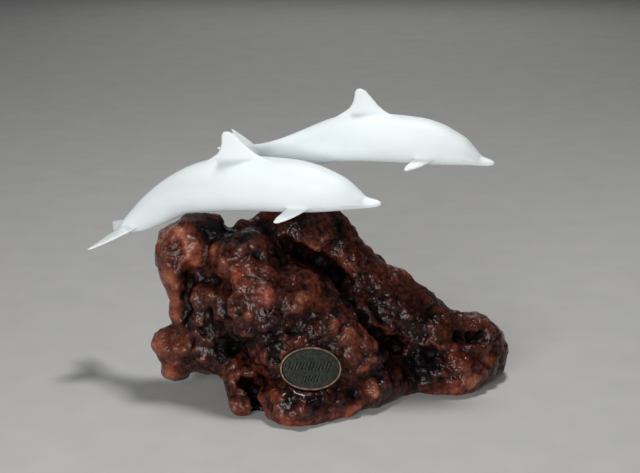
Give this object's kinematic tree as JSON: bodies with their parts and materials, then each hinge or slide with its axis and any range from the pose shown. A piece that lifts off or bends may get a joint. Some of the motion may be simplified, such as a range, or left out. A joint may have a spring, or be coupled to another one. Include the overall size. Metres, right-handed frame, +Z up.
{
  "type": "dolphin sculpture",
  "caption": "Tabletop sculpture of white cast dolphins swimming over a knobby block of varnished burl wood, with a small oval metal plate on its front.",
  "frame": {"origin": "middle of the whole sculpture's footprint, on the surface that it stands on", "axes": "+X the way the dolphins swim, +Y from the front with the plate to the back, +Z up"},
  "size_m": [0.1828, 0.0864, 0.1319],
  "materials": {
    "varnished_burl_wood": "gloss varnish over red-brown and dark purple burl",
    "white_casting_front": "cool white, satin",
    "white_casting_rear": "cool white, satin",
    "dark_bronze_plate": "dark patina with a rubbed coppery rim"
  },
  "bodies": {
    "root": {"burl_base": "varnished_burl_wood", "dolphin_front": "white_casting_front", "dolphin_rear": "white_casting_rear", "oval_plate": "dark_bronze_plate"}
  },
  "joints": []
}
